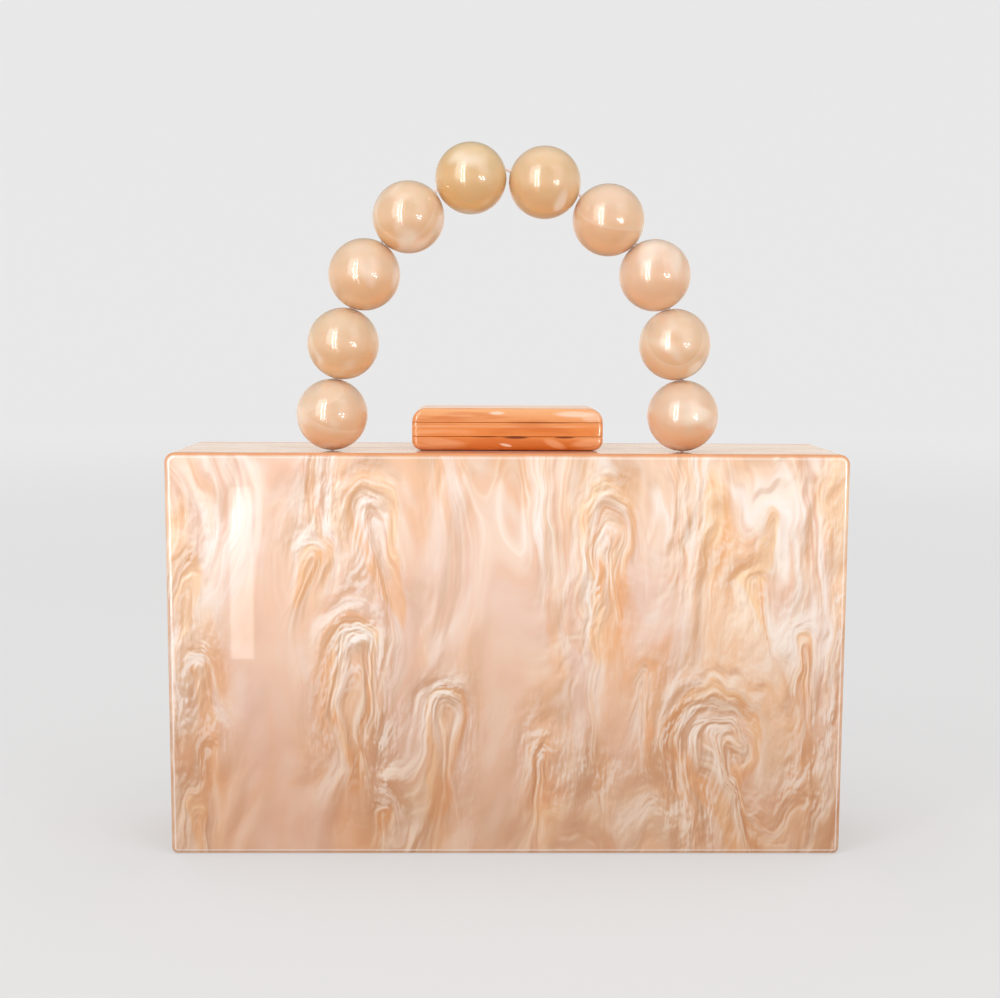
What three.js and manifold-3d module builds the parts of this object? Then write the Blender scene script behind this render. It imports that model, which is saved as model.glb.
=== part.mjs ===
// Box clutch in pearl acrylic sheet. Two shallow trays meet face to face and swing apart about a
// pin hinge in the bottom seam. Each tray carries half of a laminated clasp bar on its top, and the
// front tray carries a handle of beads strung on one thread.
// Millimetres, +Z up, front face towards -Y. The origin is at the base, in the middle of the seam.

import * as THREE from 'three';
import { mergeVertices } from 'three/addons/utils/BufferGeometryUtils.js';
import Module from 'manifold-3d';

const wasm = await Module();
wasm.setup();

// Box
const BOX_WIDTH = 200;
const BOX_HEIGHT = 120;
const BOX_DEPTH = 50;
const PLATE_THICKNESS = 3;
const WALL_THICKNESS = 3;
const TOP_CORNER_RADIUS = 3;
const BOTTOM_CORNER_RADIUS = 1.8;
const PLATE_EDGE_ROUNDING = 1.6;
const SEAM_GAP = 0.3;
const GLUE_GAP = 0.1;

// Clasp
const CLASP_WIDTH = 57;
const CLASP_BAR_DEPTH = 12.5;
const CLASP_SHEET_THICKNESS = 4.2;
const CLASP_TOP_RADIUS = 4.2;
const CLASP_BOTTOM_RADIUS = 3;
const CLASP_EDGE_ROUNDING = 1.5;
const STUD_RADIUS = 1.1;
const STUD_REACH = 5.5;
const STUD_CLEARANCE = 0.4;

// Hinge
const HINGE_LEAF_THICKNESS = 0.8;
const HINGE_LEAF_WIDTH = 9;
const HINGE_PIN_RADIUS = 0.7;
const HINGE_PIN_CLEARANCE = 0.3;
const HINGE_FLOOR_CLEARANCE = 0.3;
const HINGE_OPEN_CLEARANCE = 0.1;
const HINGE_END_GAP = 2;
const HINGE_KNUCKLE_GAP = 0.4;
const HINGE_KNUCKLES = 7;

// Handle
const BEAD_DIAMETER = 21;
const BEAD_BORE_RADIUS = 1.3;
const BEAD_SEAT_GAP = 0.2;
const THREAD_RADIUS = 0.45;
const THREAD_HOLE_CLEARANCE = 0.4;
const KNOT_RADIUS = 1.8;

// The string of beads, link by link from the left foot: the way each link heads, in degrees above
// +X, and the slack thread between the two beads. The last link's heading is worked out, so that
// the last bead stands as high as the first.
const LINKS = [
  { heading: 80.7, slack: 0.15 },
  { heading: 72.6, slack: 0.15 },
  { heading: 52.0, slack: 0.15 },
  { heading: 31.7, slack: 0.45 },
  { heading: -3.0, slack: 0.6 },
  { heading: -29.7, slack: 0.6 },
  { heading: -49.0, slack: 0.15 },
  { heading: -73.0, slack: 0.15 },
  { heading: null, slack: 0.15 },
];

// Facets
const CORNER_STEPS = 6;
const ROUNDING_STEPS = 4;
const BEAD_SIDES = 16;
const BEAD_RINGS = 9;
const ROUND_SIDES = 16;
const THREAD_SIDES = 8;
const THREAD_STEPS = 100;

// Places that follow from the sizes
const seamY = SEAM_GAP / 2;
const plateInnerY = BOX_DEPTH / 2 - PLATE_THICKNESS;
const wallOuterY = plateInnerY - GLUE_GAP;
const innerHalfWidth = BOX_WIDTH / 2 - WALL_THICKNESS;
const topCornerRadius = Math.min(TOP_CORNER_RADIUS, WALL_THICKNESS);
const bottomCornerRadius = Math.min(BOTTOM_CORNER_RADIUS, WALL_THICKNESS);
const hingeLeafTop = WALL_THICKNESS + GLUE_GAP + HINGE_LEAF_THICKNESS;
const barrelRadius = hingeLeafTop / 2;
const hingeZ = barrelRadius + HINGE_FLOOR_CLEARANCE;
const hingeSlotHalfWidth = hingeZ + HINGE_OPEN_CLEARANCE;
const claspHeight = 3 * CLASP_SHEET_THICKNESS;
const claspZ = BOX_HEIGHT + GLUE_GAP;
const beadRadius = BEAD_DIAMETER / 2;
const handleY = -BOX_DEPTH / 4;

const COLOURS = { pearl: 0xeccdb9, caramel: 0xe0925c, bead: 0xe9bf9d, thread: 0xf0d8cc, steel: 0xb9b6b0 };

/** A finish by name, as a new material for one mesh. */
function finish(colour, roughness, metalness) {
  return new THREE.MeshStandardMaterial({ color: COLOURS[colour], roughness, metalness });
}

const pearlSheet = () => finish('pearl', 0.16, 0);
const caramelEdge = () => finish('caramel', 0.14, 0);
const beadAcrylic = () => finish('bead', 0.1, 0);
const cottonThread = () => finish('thread', 0.8, 0);
const steel = () => finish('steel', 0.3, 1);

/** A closed geometry as a solid that can be joined and cut. */
function solid(geometry) {
  const bare = geometry.clone();
  bare.deleteAttribute('normal');
  bare.deleteAttribute('uv');
  const merged = mergeVertices(bare, 1e-4);
  return new wasm.Manifold(new wasm.Mesh({
    numProp: 3,
    vertProperties: new Float32Array(merged.attributes.position.array),
    triVerts: new Uint32Array(merged.index.array),
  }));
}

/** The solid's surface as a geometry with flat faces. */
function surface(body) {
  const mesh = body.getMesh();
  const geometry = new THREE.BufferGeometry();
  geometry.setAttribute('position', new THREE.BufferAttribute(new Float32Array(mesh.vertProperties), 3));
  geometry.setIndex(new THREE.BufferAttribute(new Uint32Array(mesh.triVerts), 1));
  const flat = geometry.toNonIndexed();
  flat.computeVertexNormals();
  return flat;
}

/** A box from its lowest to its highest corner. */
function block([x0, y0, z0], [x1, y1, z1]) {
  const geometry = new THREE.BoxGeometry(x1 - x0, y1 - y0, z1 - z0);
  return geometry.translate((x0 + x1) / 2, (y0 + y1) / 2, (z0 + z1) / 2);
}

/** A cylinder along X from one end to the other. */
function rodX(radius, x0, x1, z) {
  const geometry = new THREE.CylinderGeometry(radius, radius, x1 - x0, ROUND_SIDES);
  return geometry.rotateZ(Math.PI / 2).translate((x0 + x1) / 2, 0, z);
}

/** A cylinder along Y from one end to the other. */
function rodY(radius, y0, y1, z) {
  return new THREE.CylinderGeometry(radius, radius, y1 - y0, ROUND_SIDES).translate(0, (y0 + y1) / 2, z);
}

/** A cylinder along Z from one end to the other. */
function rodZ(radius, x, y, z0, z1) {
  const geometry = new THREE.CylinderGeometry(radius, radius, z1 - z0, ROUND_SIDES);
  return geometry.rotateX(Math.PI / 2).translate(x, y, (z0 + z1) / 2);
}

/** Upright outline in X and Z, anticlockwise, with a radius for each corner and 0 for a square one. */
function outline(x0, x1, z0, z1, { bottomRight = 0, topRight = 0, topLeft = 0, bottomLeft = 0 }) {
  const corners = [
    { x: x1, z: z0, inX: -1, inZ: 1, start: -Math.PI / 2, radius: bottomRight },
    { x: x1, z: z1, inX: -1, inZ: -1, start: 0, radius: topRight },
    { x: x0, z: z1, inX: 1, inZ: -1, start: Math.PI / 2, radius: topLeft },
    { x: x0, z: z0, inX: 1, inZ: 1, start: Math.PI, radius: bottomLeft },
  ];
  return corners.flatMap(({ x, z, inX, inZ, start, radius }) => {
    if (radius === 0) return [new THREE.Vector2(x, z)];
    return Array.from({ length: CORNER_STEPS + 1 }, (_, step) => {
      const angle = start + (step / CORNER_STEPS) * (Math.PI / 2);
      const centre = new THREE.Vector2(x + inX * radius, z + inZ * radius);
      return centre.add(new THREE.Vector2(Math.cos(angle), Math.sin(angle)).multiplyScalar(radius));
    });
  });
}

/** An upright outline drawn out in Y from outerY to innerY, with square rims. */
function slab(points, outerY, innerY) {
  const geometry = new THREE.ExtrudeGeometry(new THREE.Shape(points), {
    depth: innerY - outerY,
    bevelEnabled: false,
  });
  return geometry.rotateX(Math.PI / 2).translate(0, innerY, 0);
}

/** The same with a rounded rim on the outer face, and a flat inner face. */
function roundedSlab(points, outerY, innerY, rounding) {
  const thickness = innerY - outerY;
  const bothRims = new THREE.ExtrudeGeometry(new THREE.Shape(points), {
    depth: thickness - rounding,
    bevelThickness: rounding,
    bevelSize: rounding,
    bevelOffset: -rounding,
    bevelSegments: ROUNDING_STEPS,
  }).rotateX(Math.PI / 2);
  const reach = BOX_WIDTH + BOX_HEIGHT;
  const innerRim = block([-reach, 0, -reach], [reach, 2 * rounding, reach]);
  return surface(solid(bothRims).subtract(solid(innerRim))).translate(0, innerY, 0);
}

/** A named mesh. */
function piece(name, geometry, material) {
  const mesh = new THREE.Mesh(geometry, material);
  mesh.name = name;
  return mesh;
}

/** Face plate of a tray, with the rim of its outer face rounded. */
function facePlate(name) {
  const points = outline(-BOX_WIDTH / 2, BOX_WIDTH / 2, 0, BOX_HEIGHT, {
    bottomRight: bottomCornerRadius,
    topRight: topCornerRadius,
    topLeft: topCornerRadius,
    bottomLeft: bottomCornerRadius,
  });
  const rounding = Math.min(PLATE_EDGE_ROUNDING, 0.9 * bottomCornerRadius);
  return piece(name, roundedSlab(points, -BOX_DEPTH / 2, -plateInnerY, rounding), pearlSheet());
}

/** Side wall, with the box's rounded corners and a notch at the seam that lets the tray swing. */
function sideWall(name, side) {
  const outer = (side * BOX_WIDTH) / 2;
  const inner = side * innerHalfWidth;
  const radii = side > 0
    ? { bottomRight: bottomCornerRadius, topRight: topCornerRadius }
    : { bottomLeft: bottomCornerRadius, topLeft: topCornerRadius };
  const points = outline(Math.min(outer, inner), Math.max(outer, inner), 0, BOX_HEIGHT, radii);
  const wall = solid(slab(points, -wallOuterY, -seamY));
  const notch = solid(block(
    [-BOX_WIDTH, -hingeSlotHalfWidth, -BOX_HEIGHT],
    [BOX_WIDTH, hingeSlotHalfWidth, hingeSlotHalfWidth],
  ));
  return piece(name, surface(wall.subtract(notch)), pearlSheet());
}

/** Wall between the side walls, at the top or the bottom. */
function levelWall(name, z0, seamEdgeY) {
  const halfWidth = innerHalfWidth - GLUE_GAP;
  const geometry = block([-halfWidth, -wallOuterY, z0], [halfWidth, -seamEdgeY, z0 + WALL_THICKNESS]);
  return piece(name, geometry, pearlSheet());
}

/** Top wall of the front tray, drilled where the handle's thread goes in. */
function drilledTopWall(name, feet) {
  const wall = levelWall(name, BOX_HEIGHT - WALL_THICKNESS, seamY);
  const drilled = feet.reduce((body, { x, y }) => {
    const hole = rodZ(THREAD_RADIUS + THREAD_HOLE_CLEARANCE, x, y, 0, 2 * BOX_HEIGHT);
    return body.subtract(solid(hole));
  }, solid(wall.geometry));
  wall.geometry = surface(drilled);
  return wall;
}

/** The three glued sheets of a clasp bar, cut from one rounded bar, with a bore for the stud. */
function claspSheets(prefix, boreRadius) {
  const points = outline(-CLASP_WIDTH / 2, CLASP_WIDTH / 2, 0, claspHeight, {
    bottomRight: CLASP_BOTTOM_RADIUS,
    topRight: CLASP_TOP_RADIUS,
    topLeft: CLASP_TOP_RADIUS,
    bottomLeft: CLASP_BOTTOM_RADIUS,
  });
  const bar = solid(roundedSlab(points, -seamY - CLASP_BAR_DEPTH, -seamY, CLASP_EDGE_ROUNDING));
  const bore = solid(rodY(boreRadius, -seamY - STUD_REACH - STUD_CLEARANCE, BOX_DEPTH, claspHeight / 2));
  const bored = bar.subtract(bore);
  return ['lower', 'middle', 'upper'].map((level, index) => {
    const z0 = index * CLASP_SHEET_THICKNESS;
    const slice = block(
      [-CLASP_WIDTH, -BOX_DEPTH, z0],
      [CLASP_WIDTH, BOX_DEPTH, z0 + CLASP_SHEET_THICKNESS - GLUE_GAP],
    );
    const sheet = piece(`${prefix}_${level}`, surface(bored.intersect(solid(slice))), caramelEdge());
    sheet.position.z = claspZ;
    return sheet;
  });
}

/** The stud of the clasp: it stands in the rear bar and reaches into the front one. */
function claspStud() {
  const stud = piece('clasp_stud', rodY(STUD_RADIUS, -STUD_REACH, STUD_REACH, 0), steel());
  stud.position.z = claspZ + claspHeight / 2;
  return stud;
}

/** The knuckles' ends along X, shared by the two leaves in turn. */
function knuckleSpans() {
  const start = -innerHalfWidth + HINGE_END_GAP;
  const pitch = (-2 * start) / HINGE_KNUCKLES;
  return Array.from({ length: HINGE_KNUCKLES }, (_, index) => ({
    x0: start + index * pitch + HINGE_KNUCKLE_GAP / 2,
    x1: start + (index + 1) * pitch - HINGE_KNUCKLE_GAP / 2,
  }));
}

/** A hinge leaf on the bottom wall's inner face, with its own knuckles rolled round the pin. */
function hingeLeaf(name, firstKnuckle) {
  const spans = knuckleSpans();
  const leafZ0 = WALL_THICKNESS + GLUE_GAP;
  const outerY = -hingeSlotHalfWidth - HINGE_LEAF_WIDTH;
  const leaf = solid(block(
    [spans[0].x0, outerY, leafZ0],
    [spans[HINGE_KNUCKLES - 1].x1, -hingeSlotHalfWidth, hingeLeafTop],
  ));
  const rolled = spans.filter((_, index) => index % 2 === firstKnuckle).reduce((body, { x0, x1 }) => {
    const tab = solid(block([x0, -2 * hingeSlotHalfWidth, leafZ0], [x1, 0, hingeLeafTop]));
    return body.add(tab).add(solid(rodX(barrelRadius, x0, x1, hingeZ)));
  }, leaf);
  const bore = solid(rodX(HINGE_PIN_RADIUS + HINGE_PIN_CLEARANCE, -BOX_WIDTH, BOX_WIDTH, hingeZ));
  return piece(name, surface(rolled.subtract(bore)), steel());
}

/** The pin through all the knuckles. */
function hingePin() {
  const halfLength = innerHalfWidth - HINGE_END_GAP;
  return piece('hinge_pin', rodX(HINGE_PIN_RADIUS, -halfLength, halfLength, hingeZ), steel());
}

/** Bead places and bore headings, worked out along the string and centred on the box. */
function beadPlaces() {
  const radians = THREE.MathUtils.degToRad;
  const rise = LINKS.slice(0, -1).reduce(
    (sum, { heading, slack }) => sum + (BEAD_DIAMETER + slack) * Math.sin(radians(heading)), 0);
  const lastPitch = BEAD_DIAMETER + LINKS[LINKS.length - 1].slack;
  const lastHeading = -Math.asin(Math.min(1, rise / lastPitch));
  const headings = LINKS.map(({ heading }) => (heading === null ? lastHeading : radians(heading)));
  const centres = [new THREE.Vector3(0, handleY, BOX_HEIGHT + BEAD_SEAT_GAP + beadRadius)];
  headings.forEach((heading, index) => {
    const pitch = BEAD_DIAMETER + LINKS[index].slack;
    const step = new THREE.Vector3(Math.cos(heading), 0, Math.sin(heading)).multiplyScalar(pitch);
    centres.push(centres[index].clone().add(step));
  });
  const middle = centres[centres.length - 1].x / 2;
  const inAndOut = [Math.PI / 2, ...headings, -Math.PI / 2];
  return centres.map((centre, index) => {
    const isFoot = index === 0 || index === centres.length - 1;
    const bisector = (inAndOut[index] + inAndOut[index + 1]) / 2;
    const footHeading = index === 0 ? inAndOut[0] : inAndOut[inAndOut.length - 1];
    centre.x -= middle;
    return { centre, bore: isFoot ? footHeading : bisector };
  });
}

/** A round bead drilled through, as a profile turned about the bore. */
function bead(index, { centre, bore }) {
  const boreEnd = Math.acos(BEAD_BORE_RADIUS / beadRadius);
  const profile = Array.from({ length: BEAD_RINGS + 1 }, (_, ring) => {
    const latitude = -boreEnd + (2 * boreEnd * ring) / BEAD_RINGS;
    return new THREE.Vector2(beadRadius * Math.cos(latitude), beadRadius * Math.sin(latitude));
  });
  const round = new THREE.LatheGeometry([...profile, profile[0].clone()], BEAD_SIDES);
  const mesh = piece(`bead_${index + 1}`, round, beadAcrylic());
  mesh.position.copy(centre);
  mesh.rotation.set(Math.PI / 2, Math.PI / 2 - bore, 0, 'YXZ');
  return mesh;
}

/** The thread, from a stop knot under the top wall through every bead to the other knot. */
function beadThread(places) {
  const knotZ = BOX_HEIGHT - WALL_THICKNESS - BEAD_SEAT_GAP - KNOT_RADIUS;
  const first = places[0].centre;
  const last = places[places.length - 1].centre;
  const along = places.flatMap(({ centre, bore }) => {
    const half = new THREE.Vector3(Math.cos(bore), 0, Math.sin(bore)).multiplyScalar(beadRadius);
    return [centre.clone().sub(half), centre.clone(), centre.clone().add(half)];
  });
  const ends = [first, last].map((foot) => new THREE.Vector3(foot.x, foot.y, knotZ));
  const path = new THREE.CatmullRomCurve3([ends[0], ...along, ends[1]], false, 'centripetal');
  const section = Array.from({ length: THREAD_SIDES }, (_, side) => {
    const angle = (2 * Math.PI * side) / THREAD_SIDES;
    return new THREE.Vector2(Math.cos(angle), Math.sin(angle)).multiplyScalar(THREAD_RADIUS);
  });
  const tube = new THREE.ExtrudeGeometry(new THREE.Shape(section), {
    steps: THREAD_STEPS,
    extrudePath: path,
    bevelEnabled: false,
  });
  const knotted = ends.reduce((body, end) => {
    const knot = new THREE.SphereGeometry(KNOT_RADIUS, THREAD_SIDES + 4, THREAD_SIDES);
    return body.add(solid(knot.translate(end.x, end.y, end.z)));
  }, solid(tube));
  return piece('thread', surface(knotted), cottonThread());
}

/** The walls and plate of one tray; the rear tray is the same one turned half a turn about Z. */
function tray(prefix, [minusSide, plusSide], topWall) {
  const group = new THREE.Group();
  group.add(
    facePlate(`${prefix}_plate`),
    sideWall(`${prefix}_${minusSide}_wall`, -1),
    sideWall(`${prefix}_${plusSide}_wall`, 1),
    levelWall(`${prefix}_bottom_wall`, 0, hingeSlotHalfWidth),
    topWall,
  );
  return group;
}

const places = beadPlaces();
const feet = [places[0].centre, places[places.length - 1].centre];

const frontHalf = tray('front', ['left', 'right'], drilledTopWall('front_top_wall', feet));
frontHalf.add(
  ...claspSheets('clasp_front', STUD_RADIUS + STUD_CLEARANCE),
  hingeLeaf('hinge_front_leaf', 0),
  hingePin(),
  ...places.map((place, index) => bead(index, place)),
  beadThread(places),
);

const rearTopWall = levelWall('rear_top_wall', BOX_HEIGHT - WALL_THICKNESS, seamY);
const rearHalf = tray('rear', ['right', 'left'], rearTopWall);
rearHalf.add(
  ...claspSheets('clasp_rear', STUD_RADIUS + GLUE_GAP),
  claspStud(),
  hingeLeaf('hinge_rear_leaf', 1),
);
rearHalf.rotation.z = Math.PI;

const group = new THREE.Group();
group.add(frontHalf, rearHalf);

export default group;
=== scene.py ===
"""Looks of the box clutch: pearl acrylic sheets, a laminated clasp bar and a handle of round beads.

Metres, +Z up, front face towards -Y. Every new piece is a surface worked out with numpy.
"""

import math

import bpy
import numpy as np
from mathutils import Matrix, Vector


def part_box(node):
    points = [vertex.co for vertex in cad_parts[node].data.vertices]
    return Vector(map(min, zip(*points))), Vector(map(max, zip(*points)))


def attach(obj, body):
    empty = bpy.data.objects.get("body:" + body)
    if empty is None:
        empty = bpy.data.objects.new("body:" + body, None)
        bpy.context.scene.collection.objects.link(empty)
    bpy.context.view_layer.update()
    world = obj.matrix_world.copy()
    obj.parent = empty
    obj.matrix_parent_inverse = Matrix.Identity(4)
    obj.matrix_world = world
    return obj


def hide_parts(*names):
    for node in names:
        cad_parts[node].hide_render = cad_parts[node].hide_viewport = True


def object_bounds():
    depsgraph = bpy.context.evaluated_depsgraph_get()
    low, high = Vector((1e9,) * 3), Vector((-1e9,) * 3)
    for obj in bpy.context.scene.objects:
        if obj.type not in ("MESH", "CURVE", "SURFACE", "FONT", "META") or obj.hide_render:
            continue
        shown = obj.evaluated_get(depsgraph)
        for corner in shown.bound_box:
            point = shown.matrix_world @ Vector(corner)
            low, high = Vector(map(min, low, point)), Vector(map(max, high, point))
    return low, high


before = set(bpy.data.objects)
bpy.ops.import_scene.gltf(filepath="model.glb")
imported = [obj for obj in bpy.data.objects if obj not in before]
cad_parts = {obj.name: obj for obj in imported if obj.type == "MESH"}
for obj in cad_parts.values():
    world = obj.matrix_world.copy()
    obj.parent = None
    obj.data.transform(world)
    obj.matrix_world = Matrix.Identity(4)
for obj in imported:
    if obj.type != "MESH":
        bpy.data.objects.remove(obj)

MM = 0.001
CAD_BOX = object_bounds()

# Sizes that the finished surfaces follow, as in the solids
TOP_CORNER = 3.0 * MM
BOTTOM_CORNER = 1.8 * MM
PLATE_ROUNDING = 1.6 * MM
INNER_BEVEL = 0.15 * MM
SEAM_BEVEL = 0.3 * MM
HINGE_NOTCH = 2.35 * MM
CLASP_TOP_RADIUS = 4.2 * MM
CLASP_BOTTOM_RADIUS = 3.0 * MM
CLASP_ROUNDING = 1.5 * MM
GLUE_BEVEL = 0.12 * MM
BEAD_RADIUS = 10.56 * MM
BEAD_MOUTH = 0.8 * MM
BEAD_BORE = 1.3 * MM

# Spacing of the points that carry the pearl's flow
FACE_STEP = 0.85 * MM
EDGE_STEP = 0.35 * MM
EDGE_BAND = 4.0 * MM
WALL_STEP = 1.0 * MM

# Points in a quarter circle, round a ring's corners and over a sheet's or bar's ends
CORNER_POINTS = 5
ROUND_POINTS = 8
# The first angle over an end, in radians: at 0, its ring would be drawn in by the whole radius
FIRST_ANGLE = 0.12

# The camera, fitted to the photograph's outline: place, aim and lens
CAMERA_PLACE = (-0.00865, -0.50237, 0.15459)
CAMERA_TILT = 82.897
CAMERA_TURN = -0.765
CAMERA_ROLL = 0.255
CAMERA_LENS = 59.242
CAMERA_SHIFT = 0.04

# Plumes that rose through the front sheet while it set. x, z: where the head stopped; size: its
# radius; rise: how far it came up; turns: how far it curls; lean: its way, degrees from upright
FRONT_PLUMES = (
    # x, z, size, rise, turns, lean, in mm and degrees
    (-41, 106, 8.5, 34, 0.50, -10),
    (-57, 92, 5.0, 18, 0.55, 14),
    (-45, 66, 9.5, 34, 0.48, 2),
    (-46, 44, 6.5, 22, 0.40, -6),
    (-37, 13, 3.6, 12, 0.50, 0),
    (-18, 45, 7.6, 30, 0.62, 0),
    (10, 33, 4.6, 24, 0.62, 3),
    (30, 106, 10.0, 46, 0.46, 0),
    (29, 92, 4.2, 24, 0.45, 0),
    (60, 38, 13.0, 44, 0.44, -16),
    (66, 28, 7.0, 24, 0.45, -22),
    (78, 104, 5.0, 24, 0.45, 10),
    (72, 84, 6.0, 20, 0.45, -14),
    (88, 68, 5.0, 22, 0.50, 8),
    (-93, 84, 4.5, 22, 0.45, 8),
    (-91, 60, 5.0, 22, 0.50, -8),
    (-88, 35, 5.5, 22, 0.45, 6),
    (-92, 14, 5.0, 18, 0.45, -6),
    (88, 18, 5.0, 18, 0.45, 0),
    (42, 60, 5.0, 26, 0.38, 0),
    (42, 20, 4.6, 22, 0.42, 10),
)
# The rear sheet is cut from another place: its plumes are the front's, mirrored and moved up by
# this many mm, and those that leave at the top come in at the foot
REAR_SHIFT = 37.0
SHEET_HEIGHT = 120.0
FLOW_STEPS = 30
# Waves that crinkle and bend the flow. Lengths in mm: shortest, longest; how many; how high, as a
# share of their length; seed
CRINKLES = (4.5, 16.0, 28, 0.010, 7)
BENDS = (22.0, 70.0, 10, 0.045, 11)
# The waves are shorter across the sheet and longer up it, by these
WAVE_SHARES = (1.6, 0.75)
# How far the calm places bend, as a share of the lively ones
CALM_BEND = 0.3
# What a plume carried is drawn out by this much, so that its layers lie closer in nested arches
ARCH_GAIN = 0.6
# The silk is shaded as if it were raised and lit from here: across and up, and a step in mm
SILK_LIGHT = (-0.45, 0.89)
SILK_STEP = 0.8
# The most, in mm, that a place's origin may change over that step
LEAN_LIMIT = 6.0
# The small creases follow the flow by this share of the way
CREASE_SHARE = 0.3

# Soft upright ovals on the front sheet: x, z, half width, half height, in mm, and share
CALM_PATCHES = (
    (-70, 50, 12, 70, 0.95),
    (-10, 90, 20, 30, 0.75),
    (-2, 58, 13, 30, 0.8),
    (-6, 22, 10, 22, 0.7),
    (-66, 10, 16, 26, 0.7),
    (50, 64, 6, 22, 0.4),
)
CREASE_PATCHES = (
    (-46, 104, 12, 16, 0.95),
    (-60, 94, 7, 9, 0.8),
    (-40, 86, 8, 12, 0.7),
    (-45, 62, 10, 13, 0.95),
    (-50, 40, 7, 14, 0.9),
    (-38, 28, 8, 24, 0.8),
    (-92, 44, 8, 38, 0.95),
    (-92, 96, 7, 12, 0.3),
    (-18, 45, 8, 9, 0.9),
    (-14, 22, 5, 20, 0.6),
    (11, 30, 9, 14, 0.8),
    (24, 24, 12, 10, 0.7),
    (29, 84, 8, 30, 0.7),
    (44, 46, 14, 16, 0.5),
    (62, 34, 15, 16, 0.95),
    (58, 12, 20, 14, 0.9),
    (60, 92, 12, 16, 0.35),
    (78, 74, 14, 24, 0.45),
    (96, 60, 5, 60, 0.7),
    (88, 16, 12, 20, 0.8),
)
TAN_PATCHES = (
    (-96, 34, 9, 50, 0.9),
    (-30, 10, 16, 20, 0.9),
    (-44, 36, 7, 14, 0.6),
    (-18, 52, 8, 4, 0.8),
    (26, 16, 12, 16, 0.7),
    (62, 12, 24, 20, 0.8),
    (92, 14, 10, 28, 0.8),
    (0, 6, 14, 12, 0.5),
    (31, 109, 7, 6, 0.9),
    (-42, 105, 8, 4, 0.9),
    (-60, 95, 6, 6, 0.6),
    (-44, 64, 9, 3, 0.9),
    (-18, 49, 7, 4, 0.9),
    (58, 47, 14, 5, 0.8),
    (78, 58, 6, 6, 0.5),
    (24, 26, 12, 6, 0.7),
)
CREAM_PATCHES = (
    (-85, 104, 16, 20, 0.8),
    (-36, 96, 6, 14, 0.9),
    (8, 104, 22, 22, 0.8),
    (24, 80, 3, 26, 0.9),
    (-42, 66, 9, 3.5, 0.95),
    (-44, 46, 5, 7, 0.6),
    (58, 102, 20, 20, 0.7),
    (82, 96, 14, 22, 0.7),
    (-18, 40, 5, 5, 0.7),
    (12, 14, 10, 5, 0.7),
    (72, 72, 12, 10, 0.5),
    (64, 30, 9, 9, 0.6),
    (94, 100, 6, 24, 0.7),
    (88, 54, 9, 14, 0.8),
    (66, 88, 8, 14, 0.6),
    (-90, 70, 5, 18, 0.5),
)
ORANGE_PATCHES = (
    (-86, 44, 4, 34, 0.9),
    (-94, 28, 8, 34, 0.5),
    (80, 20, 16, 24, 0.5),
    (31, 110, 8, 6, 0.95),
    (-48, 100, 6, 8, 0.5),
    (84, 88, 4, 9, 0.8),
    (-70, 56, 1.6, 26, 0.5),
    (-53, 52, 3, 24, 0.9),
    (29, 76, 6, 22, 0.7),
    (46, 48, 5, 22, 0.6),
    (-24, 104, 5, 14, 0.5),
    (10, 18, 4, 16, 0.7),
    (58, 92, 10, 10, 0.4),
    (52, 26, 8, 20, 0.5),
    (-18, 16, 4, 18, 0.6),
)


# Meshes

def outward(points, faces):
    """The faces, each turned over if the shape they close has a negative volume.

    The volume is a sixth of the sum, over a fan of triangles in each face, of the corners' triple
    product.
    """
    volume = 0.0
    for block in faces:
        first = points[block[:, 0]]
        for k in range(1, block.shape[1] - 1):
            sides = np.cross(points[block[:, k]], points[block[:, k + 1]])
            volume += np.einsum("ij,ij->", first, sides)
    return faces if volume > 0 else [block[:, ::-1] for block in faces]


def surface(name, points, faces, values=None, sharp=None):
    """A mesh object at the origin from points (n, 3), blocks of faces (m, corners), and named
    values, one number or vector for each point, that its material reads."""
    faces = outward(points, faces)
    mesh = bpy.data.meshes.new(name)
    mesh.vertices.add(len(points))
    mesh.vertices.foreach_set("co", points.astype(np.float32).ravel())
    corners = np.concatenate([block.ravel() for block in faces])
    counts = np.concatenate([np.full(len(block), block.shape[1]) for block in faces])
    mesh.loops.add(len(corners))
    mesh.loops.foreach_set("vertex_index", corners.astype(np.int32))
    mesh.polygons.add(len(counts))
    starts = np.concatenate([[0], np.cumsum(counts)[:-1]])
    mesh.polygons.foreach_set("loop_start", starts.astype(np.int32))
    mesh.polygons.foreach_set("use_smooth", np.ones(len(counts), bool))
    for key, value in (values or {}).items():
        kind = "FLOAT" if value.ndim == 1 else "FLOAT_VECTOR"
        field = "value" if value.ndim == 1 else "vector"
        attribute = mesh.attributes.new(key, kind, "POINT")
        attribute.data.foreach_set(field, value.astype(np.float32).ravel())
    mesh.update(calc_edges=True)
    if sharp is not None:
        mesh.set_sharp_from_angle(angle=math.radians(sharp))
    piece = bpy.data.objects.new(name, mesh)
    bpy.context.scene.collection.objects.link(piece)
    return piece


def flatten_faces(piece):
    """Shades the piece by its large flat faces, so that only its rounded edges turn."""
    even = piece.modifiers.new("even shading", "WEIGHTED_NORMAL")
    even.mode = "FACE_AREA"
    even.weight = 100
    even.keep_sharp = True


def loft(rings):
    """Points and faces of rings (stations, ring points, 3) joined in turn, with a cap on each end."""
    stations, around = rings.shape[:2]
    index = np.arange(stations * around).reshape(stations, around)
    ahead = np.roll(index, -1, axis=1)
    quads = np.stack([index[:-1], ahead[:-1], ahead[1:], index[1:]], axis=-1).reshape(-1, 4)
    return rings.reshape(-1, 3), [quads, index[:1, ::-1], index[-1:]]


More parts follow.
